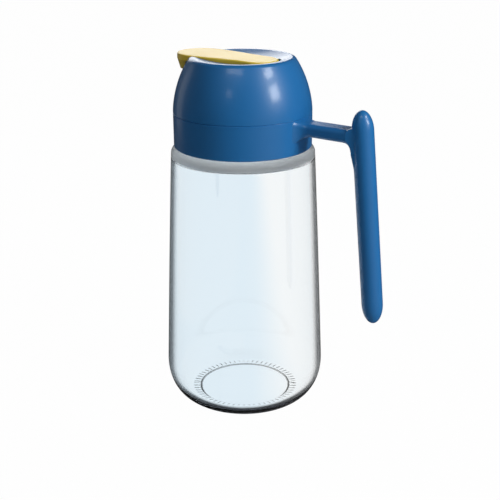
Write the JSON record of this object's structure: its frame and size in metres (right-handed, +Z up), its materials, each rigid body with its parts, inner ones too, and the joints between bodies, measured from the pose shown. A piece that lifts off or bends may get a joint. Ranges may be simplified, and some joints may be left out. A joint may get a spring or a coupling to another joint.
{
  "type": "oil bottle",
  "caption": "Clear glass oil bottle with a screw-on plastic head: collar with a side arm and hanging grip, and a domed cover with a weighted flap that opens as the bottle tips.",
  "frame": {"origin": "on the bottle's axis, in the plane of the foot ring that it stands on", "axes": "+Z up along the bottle's axis, +X towards the arm and grip, so the pouring lip is towards -X; the hinge pin lies along Y"},
  "size_m": [0.1312, 0.0896, 0.1972],
  "materials": {
    "clear_glass": "clear, polished, thick base",
    "blue_plastic": "semi-gloss moulded polypropylene",
    "yellow_plastic": "semi-gloss moulded plastic",
    "white_plastic": "plain moulded polypropylene",
    "silicone": "soft, translucent white",
    "steel": "stainless"
  },
  "bodies": {
    "bottle": {"glass_bottle": "clear_glass"},
    "seal": {"neck_seal": "silicone"},
    "head": {"inner_cap": "white_plastic", "pour_spout": "white_plastic", "handle_collar": "blue_plastic", "dome_cover": "blue_plastic", "hinge_pin": "steel", "pin_keeper_left": "white_plastic", "pin_keeper_right": "white_plastic", "keeper_screws": "steel"},
    "flap": {"flap": "yellow_plastic", "rocker": "white_plastic", "counterweight": "steel", "weight_cap": "white_plastic", "spout_pad": "silicone"}
  },
  "joints": [
    {"name": "head_lift", "type": "slide", "parent": "bottle", "child": "seal", "axis": [0, 0, 1], "range_m": [0, 0.0075]},
    {"name": "head_turn", "type": "hinge", "parent": "seal", "child": "head", "pos_m": [0, 0, 0.1635], "axis": [0, 0, 1], "range_deg": [0, 540]},
    {"name": "flap_hinge", "type": "hinge", "parent": "head", "child": "flap", "pos_m": [0.004, 0, 0.1892], "axis": [0, 1, 0], "range_deg": [0, 40]}
  ],
  "couplings": [
    {"joint": "head_lift", "follows": "head_turn", "m_per_rad": 0.00079577}
  ]
}
